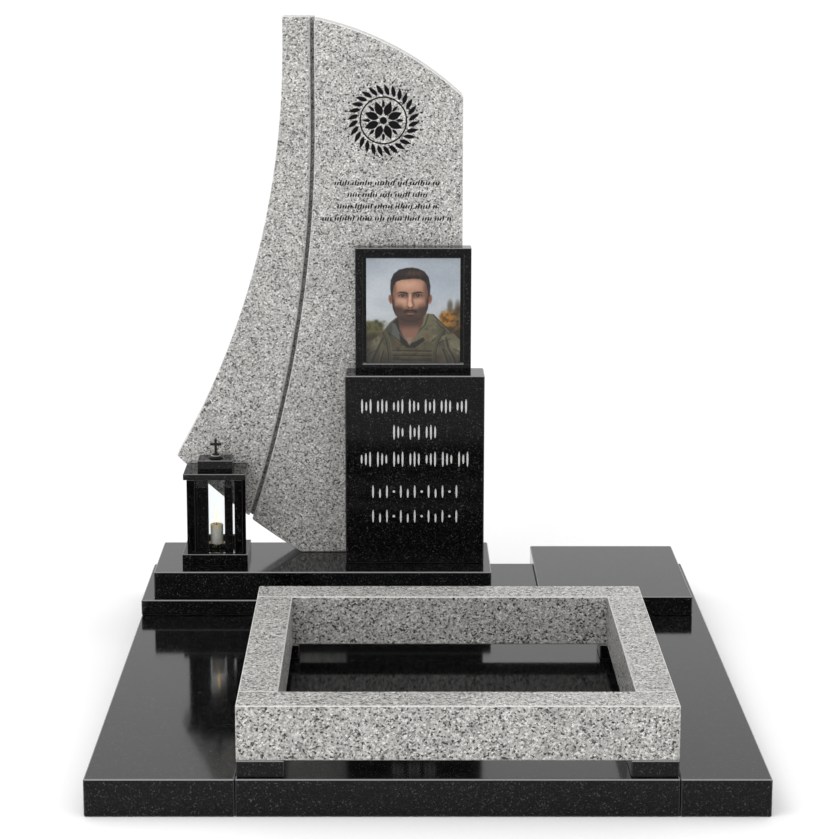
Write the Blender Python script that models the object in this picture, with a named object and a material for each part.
"""Granite grave memorial: paving, planter frame, two-step plinth, stele, name block and lantern.

Metres, +Z up. The front faces -Y and +X is to the right as seen from the front.
The origin is at the middle of the footprint, on the ground.
"""
import math

import bmesh
import bpy
from mathutils import Vector

# Clearances
GAP = 0.0003                  # between two pieces that touch
CHAMFER = 0.0025              # polished edge on the granite
FINE_CHAMFER = 0.0012         # edge on the lantern's small pieces

# Paving: three slabs side by side
PAVING_LEFT = 0.3135
PAVING_CENTRE = 0.923
PAVING_RIGHT = 0.1895
PAVING_JOINT = 0.002
PAVING_DEPTH = 1.750
PAVING_THICK = 0.082

# Plinth at the back
PLINTH_FRONT = 1.232          # from the paving's front edge to the lower tier
LOWER_DEPTH = 0.360
LOWER_THICK = 0.040
UPPER_DEPTH = 0.308
UPPER_THICK = 0.068
UPPER_INSET = 0.031           # from the lower tier's left end
UPPER_TREAD = 0.021           # from the lower tier's front face
LOWER_REACH = 0.124           # how far the lower tier runs on past the upper one's right end

# Stand slab to the right of the plinth
STAND_MARGIN = 0.0277         # paving left free on its right
STAND_THICK = 0.0495

# Stele
STELE_FRONT = 0.204           # from the upper tier's front face
STELE_THICK = 0.092
STELE_RIGHT = 0.0725          # from the upper tier's right end
STELE_FOOT = 0.4190           # length that stands on the tier
STELE_HEIGHT = 1.3855         # main slab, at the groove
STELE_SHOULDER = 1.190        # main slab, at its right edge
STELE_TOP_WIDTH = 0.377       # main slab, from the right edge to the groove
STELE_TOP_RISE = 0.029        # bulge of the curved top
GROOVE_BEND = 1.12            # height where the groove starts to sweep left
GROOVE_RADIUS = 3.21
WING_HEIGHT = 1.389
WING_TOP_WIDTH = 0.458        # from the right edge to the wing's outer edge
WING_BEND = 1.32
WING_RADIUS = 2.13
WING_TIP = 0.257              # height of the wing's outer tip
WING_SETBACK = 0.012          # the wing's face lies behind the main face
UNDERCUT_BULGE = 0.0115       # bulge of the slanting lower left edge
GROOVE_WIDTH = 0.0105
GROOVE_DEPTH = 0.034
SLOPE_WIDTH = 0.005           # slanting strip on the wing beside the groove
SLOPE_DEPTH = 0.003

# Name block and portrait on it
NAME_TREAD = 0.089            # from the upper tier's front face
NAME_WIDTH = 0.3556
NAME_HEIGHT = 0.491
NAME_RIGHT = 0.0172           # from the upper tier's right end
PORTRAIT_WIDTH = 0.296
PORTRAIT_HEIGHT = 0.319
PORTRAIT_DEPTH = 0.056
PORTRAIT_SHIFT = 0.004        # its middle, to the left of the name block's
PORTRAIT_SIDE = 0.0248        # face left beside the picture's lip
PORTRAIT_TOP = 0.0228         # face left above it
PORTRAIT_FOOT = 0.0185        # face left below it
PORTRAIT_LIP = 0.003          # width of the slanting lip
LIP_DEPTH = 0.004
PLATE_THICK = 0.004

# Planter frame on feet
PLANTER_MARGIN = 0.00125      # middle slab left free on each side
PLANTER_DEPTH = 0.937
PLANTER_FRONT = 0.011         # from the paving's front edge
RAIL_HEIGHT = 0.1185
END_RAIL = 0.098              # width of the front and back rails
SIDE_RAIL = 0.084
FOOT_HEIGHT = 0.0365
FOOT_WIDTH = 0.100

# Lantern
LANTERN_LEFT = 0.152          # its middle, from the upper tier's left end
LANTERN_TO_FOOT = 0.2165      # its middle, from the left end of the stele's foot
LANTERN_SPACE = 0.005         # between its roof and the wing behind it
LANTERN_BASE = (0.168, 0.157, 0.0295)
LANTERN_BODY = (0.143, 0.134, 0.193)
LANTERN_WALL = 0.021
UPRIGHT = 0.020               # the right upright's width, and the depth of both
UPRIGHT_SPACE = 0.0425        # between the two uprights
SILL_DEPTH = 0.012
SILL_HEIGHT = 0.020
PANE_THICK = 0.003
PANE_INSET = 0.006            # from the body's faces
LANTERN_ROOF = (0.160, 0.140, 0.0155)
LANTERN_CAP = (0.090, 0.074, 0.028)
FINIAL_RADIUS = 0.0185
FINIAL_HEIGHT = 0.012
CROSS_HEIGHT = 0.037
CROSS_SPAN = 0.029
CROSS_BAR = 0.0064
CROSS_THICK = 0.0055
CROSS_ARM = 0.023             # height of the arms' middle above the finial
DISH_RADIUS = 0.021
DISH_HEIGHT = 0.012
DISH_WALL = 0.0018
DISH_FLOOR = 0.0035
CANDLE_RADIUS = 0.0165
CANDLE_HEIGHT = 0.069
WICK_RADIUS = 0.0011
WICK_HEIGHT = 0.011

# How finely curves are cut
OUTLINE_STEPS = 28
TURNED_STEPS = 40


def clear_scene():
    for item in list(bpy.data.objects):
        bpy.data.objects.remove(item, do_unlink=True)


def make_material(name, colour, roughness, metallic=0.0, alpha=1.0):
    material = bpy.data.materials.new(name)
    material.use_nodes = True
    shader = material.node_tree.nodes["Principled BSDF"]
    shader.inputs["Base Color"].default_value = (*colour, 1.0)
    shader.inputs["Roughness"].default_value = roughness
    shader.inputs["Metallic"].default_value = metallic
    shader.inputs["Alpha"].default_value = alpha
    material.diffuse_color = (*colour, alpha)
    return material


def make_materials():
    return {
        "black_granite": make_material("black_granite", (0.015, 0.015, 0.017), 0.08),
        "light_granite": make_material("light_granite", (0.42, 0.41, 0.39), 0.30),
        "picture": make_material("picture", (0.38, 0.42, 0.40), 0.15),
        "glass": make_material("glass", (0.95, 0.97, 0.97), 0.02, alpha=0.2),
        "bronze": make_material("bronze", (0.05, 0.045, 0.04), 0.35, metallic=0.8),
        "brass": make_material("brass", (0.62, 0.52, 0.30), 0.25, metallic=1.0),
        "wax": make_material("wax", (0.78, 0.72, 0.64), 0.45),
    }


def link_mesh(name, mesh, material, chamfer=0.0):
    mesh.materials.append(material)
    item = bpy.data.objects.new(name, mesh)
    bpy.context.scene.collection.objects.link(item)
    if chamfer > 0:
        bevel = item.modifiers.new("edge", "BEVEL")
        bevel.width = chamfer
        bevel.segments = 1
        bevel.limit_method = "ANGLE"
        bevel.angle_limit = math.radians(30)
    return item


def block(name, low, size, material, chamfer=CHAMFER):
    """A slab from its lowest corner and its size."""
    mesh = bpy.data.meshes.new(name)
    builder = bmesh.new()
    bmesh.ops.create_cube(builder, size=1.0)
    bmesh.ops.scale(builder, vec=Vector(size), verts=builder.verts)
    builder.to_mesh(mesh)
    builder.free()
    item = link_mesh(name, mesh, material, chamfer)
    item.location = Vector(low) + Vector(size) / 2
    return item


def upright_slab(name, outline, front, back, material, chamfer=CHAMFER, back_outline=None):
    """An outline of (x, z) points, drawn anticlockwise from the front, joined to the one behind.

    The outline at the back has as many points, and is the same one unless it is given.
    """
    mesh = bpy.data.meshes.new(name)
    builder = bmesh.new()
    near = [builder.verts.new((x, front, z)) for x, z in outline]
    far = [builder.verts.new((x, back, z)) for x, z in back_outline or outline]
    builder.faces.new(near)
    builder.faces.new(far)
    for index in range(len(near)):
        builder.faces.new([near[index - 1], near[index], far[index], far[index - 1]])
    bmesh.ops.recalc_face_normals(builder, faces=builder.faces)
    builder.to_mesh(mesh)
    builder.free()
    return link_mesh(name, mesh, material, chamfer)


def turned(name, profile, place, material):
    """A profile of (radius, z) points from the axis below to the axis above, spun round +Z."""
    mesh = bpy.data.meshes.new(name)
    builder = bmesh.new()
    points = [builder.verts.new((radius, 0, z)) for radius, z in profile]
    edges = [builder.edges.new(pair) for pair in zip(points, points[1:])]
    bmesh.ops.spin(builder, geom=points + edges, cent=(0, 0, 0), axis=(0, 0, 1),
                   angle=2 * math.pi, steps=TURNED_STEPS, use_merge=True, use_duplicate=False)
    bmesh.ops.remove_doubles(builder, verts=builder.verts, dist=0.00001)
    bmesh.ops.recalc_face_normals(builder, faces=builder.faces)
    builder.to_mesh(mesh)
    builder.free()
    mesh.shade_smooth()
    mesh.set_sharp_from_angle(angle=math.radians(35))
    item = link_mesh(name, mesh, material)
    item.location = place
    return item


def cut_away(item, tool):
    tool.hide_render = True
    tool.display_type = "WIRE"
    boolean = item.modifiers.new("cut", "BOOLEAN")
    boolean.operation = "DIFFERENCE"
    boolean.solver = "EXACT"
    boolean.object = tool


# Places that several pieces share
PAVING_WIDTH = PAVING_LEFT + PAVING_CENTRE + PAVING_RIGHT + 2 * PAVING_JOINT
UPPER_LENGTH = LANTERN_LEFT + LANTERN_TO_FOOT + STELE_FOOT + STELE_RIGHT
LOWER_LENGTH = UPPER_INSET + UPPER_LENGTH + LOWER_REACH
STAND_WIDTH = PAVING_WIDTH - LOWER_LENGTH - GAP - STAND_MARGIN
PLANTER_WIDTH = PAVING_CENTRE - 2 * PLANTER_MARGIN
WEST = -PAVING_WIDTH / 2
FRONT = -PAVING_DEPTH / 2
PAVING_TOP = PAVING_THICK
PLINTH_Y = FRONT + PLINTH_FRONT
LOWER_BOTTOM = PAVING_TOP + GAP
UPPER_X = WEST + UPPER_INSET
UPPER_Y = PLINTH_Y + UPPER_TREAD
UPPER_BOTTOM = LOWER_BOTTOM + LOWER_THICK + GAP
UPPER_EAST = UPPER_X + UPPER_LENGTH
TIER_TOP = UPPER_BOTTOM + UPPER_THICK
STELE_Y = UPPER_Y + STELE_FRONT
STELE_X = UPPER_EAST - STELE_RIGHT
STELE_BOTTOM = TIER_TOP + GAP
LANTERN_X = UPPER_X + LANTERN_LEFT
LANTERN_Y = STELE_Y + WING_SETBACK - LANTERN_SPACE - LANTERN_ROOF[1] / 2


def build_paving(stone):
    left = WEST
    for name, width in (("paving_left", PAVING_LEFT), ("paving_centre", PAVING_CENTRE),
                        ("paving_right", PAVING_RIGHT)):
        block(name, (left, FRONT, 0), (width, PAVING_DEPTH, PAVING_THICK), stone)
        left += width + PAVING_JOINT


def build_plinth(stone):
    block("lower_tier", (WEST, PLINTH_Y, LOWER_BOTTOM), (LOWER_LENGTH, LOWER_DEPTH, LOWER_THICK),
          stone)
    block("upper_tier", (UPPER_X, UPPER_Y, UPPER_BOTTOM), (UPPER_LENGTH, UPPER_DEPTH, UPPER_THICK),
          stone)
    stand_depth = PAVING_DEPTH - PLINTH_FRONT
    block("stand_slab", (WEST + LOWER_LENGTH + GAP, PLINTH_Y, LOWER_BOTTOM),
          (STAND_WIDTH, stand_depth, STAND_THICK), stone)


def arc_through(start, end, bulge, steps):
    """Points after start, up to and with end, on an arc.

    A positive bulge is to the left of the way from start to end, a negative one to the right.
    """
    first, last = Vector(start), Vector(end)
    chord = last - first
    half = chord.length / 2
    radius = (half * half + bulge * bulge) / (2 * abs(bulge))
    turn = math.copysign(1, bulge)
    side = Vector((-chord.y, chord.x)).normalized()
    centre = (first + last) / 2 + side * (bulge - turn * radius)
    from_angle = math.atan2(first.y - centre.y, first.x - centre.x)
    sweep = -turn * 2 * math.asin(half / radius)
    points = []
    for step in range(1, steps + 1):
        angle = from_angle + sweep * step / steps
        points.append((centre.x + radius * math.cos(angle), centre.y + radius * math.sin(angle)))
    return points


def swept_edge(height, straight_x, bend, radius):
    """How far left of the stele's right edge a side lies that is upright above the bend."""
    drop = max(0.0, bend - height)
    return straight_x + radius - math.sqrt(radius * radius - drop * drop)


def groove_x(height):
    return -swept_edge(height, STELE_TOP_WIDTH, GROOVE_BEND, GROOVE_RADIUS)


def wing_x(height):
    return -swept_edge(height, WING_TOP_WIDTH, WING_BEND, WING_RADIUS)


def undercut():
    """The slanting lower left edge, from the foot's left end up to the wing's tip."""
    foot = (-STELE_FOOT, 0.0)
    tip = (wing_x(WING_TIP), WING_TIP)
    return [foot] + arc_through(foot, tip, UNDERCUT_BULGE, OUTLINE_STEPS)


def meeting_height():
    """The height where the groove's line leaves the stone through the slanting edge."""
    line = undercut()
    for (x0, z0), (x1, z1) in zip(line, line[1:]):
        if x1 <= groove_x(z1):
            gap0 = x0 - groove_x(z0)
            gap1 = x1 - groove_x(z1)
            share = gap0 / (gap0 - gap1)
            return z0 + share * (z1 - z0)
    return line[-1][1]


def heights(low, high):
    return [low + (high - low) * step / OUTLINE_STEPS for step in range(OUTLINE_STEPS + 1)]


def main_outline():
    """The main slab: foot, right edge, curved top, groove side, slanting edge."""
    meet = meeting_height()
    points = [(0.0, 0.0), (0.0, STELE_SHOULDER)]
    crown = (groove_x(STELE_HEIGHT), STELE_HEIGHT)
    points += arc_through(points[-1], crown, -STELE_TOP_RISE, OUTLINE_STEPS)
    points += [(groove_x(z), z) for z in reversed(heights(meet, GROOVE_BEND))]
    points += [(x, z) for x, z in reversed(undercut()) if z < meet - GAP]
    return points


def wing_outline():
    """The wing: slanting edge, groove side, short top, outer sweep down to the tip."""
    meet = meeting_height()
    points = [(groove_x(z) - GAP, z) for z in heights(meet, GROOVE_BEND)]
    points.append((groove_x(WING_HEIGHT) - GAP, WING_HEIGHT))
    points.append((wing_x(WING_HEIGHT), WING_HEIGHT))
    points += [(wing_x(z), z) for z in reversed(heights(WING_TIP, WING_BEND))]
    slanting = [(x, z) for x, z in reversed(undercut()) if meet + GAP < z < WING_TIP - GAP]
    return points + slanting


def groove_outline(width):
    """The strip that is cut back along the wing's side of the groove."""
    low = meeting_height() - GROOVE_WIDTH
    high = WING_HEIGHT + GROOVE_WIDTH
    right = [(groove_x(z) + GROOVE_WIDTH, z) for z in heights(low, high)]
    left = [(groove_x(z) - width, z) for z in reversed(heights(low, high))]
    return right + left


def placed(outline):
    return [(STELE_X + x, STELE_BOTTOM + z) for x, z in outline]


def build_stele(stone):
    back = STELE_Y + STELE_THICK
    upright_slab("stele_main", placed(main_outline()), STELE_Y, back, stone)
    wing_face = STELE_Y + WING_SETBACK
    wing = upright_slab("stele_wing", placed(wing_outline()), wing_face, back, stone, chamfer=0)
    groove = placed(groove_outline(GROOVE_WIDTH))
    sloping = placed(groove_outline(GROOVE_WIDTH + SLOPE_WIDTH))
    cut_away(wing, upright_slab("groove_cutter", groove, STELE_Y, wing_face + GROOVE_DEPTH, stone,
                                chamfer=0))
    cut_away(wing, upright_slab("slope_cutter", sloping, wing_face - GAP, wing_face + SLOPE_DEPTH,
                                stone, chamfer=0, back_outline=groove))
    bevel = wing.modifiers.new("edge", "BEVEL")
    bevel.width = CHAMFER / 2
    bevel.segments = 1
    bevel.limit_method = "ANGLE"
    bevel.angle_limit = math.radians(60)


def build_name_block(stone):
    depth = STELE_FRONT - NAME_TREAD - GAP
    x = UPPER_EAST - NAME_RIGHT - NAME_WIDTH
    block("name_block", (x, UPPER_Y + NAME_TREAD, TIER_TOP + GAP), (NAME_WIDTH, depth, NAME_HEIGHT),
          stone)
    return x + NAME_WIDTH / 2, TIER_TOP + GAP + NAME_HEIGHT


def build_portrait(stone, picture, middle, base):
    """A block with a slanting lip round a pocket, and the picture plate in the pocket."""
    width, height = PORTRAIT_WIDTH, PORTRAIT_HEIGHT
    front = STELE_Y - GAP - PORTRAIT_DEPTH
    pocket = PLATE_THICK + GAP
    mesh = bpy.data.meshes.new("portrait_frame")
    builder = bmesh.new()
    bmesh.ops.create_cube(builder, size=1.0)
    bmesh.ops.scale(builder, vec=(width, PORTRAIT_DEPTH, height), verts=builder.verts)
    face = min(builder.faces, key=lambda item: item.calc_center_median().y)
    bmesh.ops.inset_region(builder, faces=[face], thickness=PORTRAIT_SIDE)
    for corner in face.verts:
        corner.co.z = height / 2 - PORTRAIT_TOP if corner.co.z > 0 else PORTRAIT_FOOT - height / 2
    bmesh.ops.inset_region(builder, faces=[face], thickness=PORTRAIT_LIP, depth=-LIP_DEPTH)
    pushed = bmesh.ops.extrude_face_region(builder, geom=[face])
    moved = [part for part in pushed["geom"] if isinstance(part, bmesh.types.BMVert)]
    bmesh.ops.translate(builder, vec=(0, pocket, 0), verts=moved)
    bmesh.ops.delete(builder, geom=[face], context="FACES_ONLY")
    bmesh.ops.recalc_face_normals(builder, faces=builder.faces)
    builder.to_mesh(mesh)
    builder.free()
    frame = link_mesh("portrait_frame", mesh, stone)
    outer = frame.modifiers.new("edge", "BEVEL")
    outer.width = CHAMFER / 2
    outer.segments = 1
    outer.limit_method = "ANGLE"
    outer.angle_limit = math.radians(80)
    frame.location = (middle, front + PORTRAIT_DEPTH / 2, base + GAP + height / 2)
    rim = PORTRAIT_LIP + GAP
    tall = height - PORTRAIT_TOP - PORTRAIT_FOOT - 2 * rim
    size = (width - 2 * (PORTRAIT_SIDE + rim), PLATE_THICK, tall)
    low = (middle - size[0] / 2, front + LIP_DEPTH, base + GAP + PORTRAIT_FOOT + rim)
    block("portrait_plate", low, size, picture, chamfer=0)


def build_planter(light, dark):
    """Four rails, butted at the corners, on four feet."""
    middle = WEST + PAVING_LEFT + PAVING_JOINT + PAVING_CENTRE / 2
    left = middle - PLANTER_WIDTH / 2
    front = FRONT + PLANTER_FRONT
    bottom = PAVING_TOP + GAP + FOOT_HEIGHT + GAP
    back = front + PLANTER_DEPTH - END_RAIL
    end_size = (PLANTER_WIDTH, END_RAIL, RAIL_HEIGHT)
    side_size = (SIDE_RAIL, PLANTER_DEPTH - 2 * (END_RAIL + GAP), RAIL_HEIGHT)
    side_y = front + END_RAIL + GAP
    block("planter_rail_front", (left, front, bottom), end_size, light)
    block("planter_rail_back", (left, back, bottom), end_size, light)
    block("planter_rail_left", (left, side_y, bottom), side_size, light)
    block("planter_rail_right", (left + PLANTER_WIDTH - SIDE_RAIL, side_y, bottom), side_size, light)
    foot_size = (FOOT_WIDTH, END_RAIL, FOOT_HEIGHT)
    for end, y in (("front", front), ("back", back)):
        for side, x in (("left", left), ("right", left + PLANTER_WIDTH - FOOT_WIDTH)):
            block(f"planter_foot_{end}_{side}", (x, y, PAVING_TOP + GAP), foot_size, dark)


def centred(name, middle, bottom, size, material, chamfer=FINE_CHAMFER):
    low = (middle[0] - size[0] / 2, middle[1] - size[1] / 2, bottom)
    return block(name, low, size, material, chamfer)


def build_lantern(stone, glass, metal):
    middle = (LANTERN_X, LANTERN_Y)
    base = TIER_TOP + GAP
    centred("lantern_base", middle, base, LANTERN_BASE, stone)
    floor = base + LANTERN_BASE[2] + GAP
    width, depth, height = LANTERN_BODY
    inside = width - 2 * (LANTERN_WALL + GAP)
    to_wall = (inside - UPRIGHT_SPACE) / 2
    for side, sign, post_width in (("left", -1, to_wall), ("right", 1, UPRIGHT)):
        wall = (middle[0] + sign * (width - LANTERN_WALL) / 2, middle[1])
        centred(f"lantern_wall_{side}", wall, floor, (LANTERN_WALL, depth, height), stone)
        post = (middle[0] + sign * (UPRIGHT_SPACE + post_width) / 2, middle[1])
        centred(f"lantern_upright_{side}", post, floor, (post_width, UPRIGHT, height), stone)
    pane_y = depth / 2 - PANE_INSET - PANE_THICK / 2
    sill_y = pane_y - PANE_THICK / 2 - GAP - SILL_DEPTH / 2
    centred("lantern_sill", (middle[0], middle[1] + sill_y), floor,
            (inside, SILL_DEPTH, SILL_HEIGHT), stone)
    for end, sign in (("front", -1), ("back", 1)):
        centred(f"lantern_pane_{end}", (middle[0], middle[1] + sign * pane_y), floor,
                (inside, PANE_THICK, height), glass, chamfer=0)
    roof = floor + height + GAP
    centred("lantern_roof", middle, roof, LANTERN_ROOF, stone)
    cap = roof + LANTERN_ROOF[2] + GAP
    centred("lantern_cap", middle, cap, LANTERN_CAP, stone)
    finial = cap + LANTERN_CAP[2] + GAP
    build_finial((middle[0], middle[1], finial), metal)
    build_cross((middle[0], middle[1], finial + FINIAL_HEIGHT + GAP), metal)
    return middle, floor


def build_finial(place, metal):
    """A turned foot in three steps, each narrower than the one below."""
    wide = FINIAL_RADIUS
    plate = FINIAL_HEIGHT / 4
    profile = [(0, 0), (wide * 0.93, 0), (wide, plate * 0.4), (wide * 0.9, plate),
               (wide * 0.45, plate * 1.4), (wide * 0.4, plate * 2.0), (wide * 0.72, plate * 2.2),
               (wide * 0.72, plate * 2.8), (wide * 0.55, plate * 3.1), (wide * 0.58, plate * 3.6),
               (wide * 0.3, FINIAL_HEIGHT), (0, FINIAL_HEIGHT)]
    turned("lantern_finial", profile, place, metal)


def build_cross(place, metal):
    half = CROSS_BAR / 2
    reach = CROSS_SPAN / 2
    outline = [(-half, 0), (half, 0), (half, CROSS_ARM - half), (reach, CROSS_ARM - half),
               (reach, CROSS_ARM + half), (half, CROSS_ARM + half), (half, CROSS_HEIGHT),
               (-half, CROSS_HEIGHT), (-half, CROSS_ARM + half), (-reach, CROSS_ARM + half),
               (-reach, CROSS_ARM - half), (-half, CROSS_ARM - half)]
    points = [(place[0] + x, place[2] + z) for x, z in outline]
    upright_slab("lantern_cross", points, place[1] - CROSS_THICK / 2, place[1] + CROSS_THICK / 2,
                 metal, chamfer=FINE_CHAMFER / 2)


def build_candle(middle, floor, brass, wax):
    """A dish with a flared rim, and a candle with a shallow pool and a wick."""
    foot = DISH_RADIUS * 0.72
    rim = DISH_HEIGHT
    inner = DISH_RADIUS - DISH_WALL
    dish = [(0, 0), (foot, 0), (foot + DISH_WALL, DISH_WALL), (DISH_RADIUS, rim * 0.8),
            (DISH_RADIUS, rim), (inner, rim), (inner - DISH_WALL / 2, rim * 0.6),
            (CANDLE_RADIUS + DISH_WALL / 2, DISH_FLOOR), (0, DISH_FLOOR)]
    turned("candle_dish", dish, (middle[0], middle[1], floor), brass)
    top = CANDLE_HEIGHT - WICK_HEIGHT
    edge = CANDLE_RADIUS * 0.08
    pool = top - CANDLE_RADIUS * 0.15
    candle = [(0, 0), (CANDLE_RADIUS, 0), (CANDLE_RADIUS, top - edge), (CANDLE_RADIUS - edge, top),
              (CANDLE_RADIUS * 0.8, top), (CANDLE_RADIUS * 0.6, pool), (WICK_RADIUS, pool),
              (WICK_RADIUS, CANDLE_HEIGHT - WICK_RADIUS), (0, CANDLE_HEIGHT)]
    turned("candle", candle, (middle[0], middle[1], floor + DISH_FLOOR + GAP), wax)


def main():
    clear_scene()
    paint = make_materials()
    dark, light = paint["black_granite"], paint["light_granite"]
    build_paving(dark)
    build_plinth(dark)
    build_stele(light)
    middle, top = build_name_block(dark)
    build_portrait(dark, paint["picture"], middle - PORTRAIT_SHIFT, top)
    build_planter(light, dark)
    place, floor = build_lantern(dark, paint["glass"], paint["bronze"])
    build_candle(place, floor, paint["brass"], paint["wax"])


main()
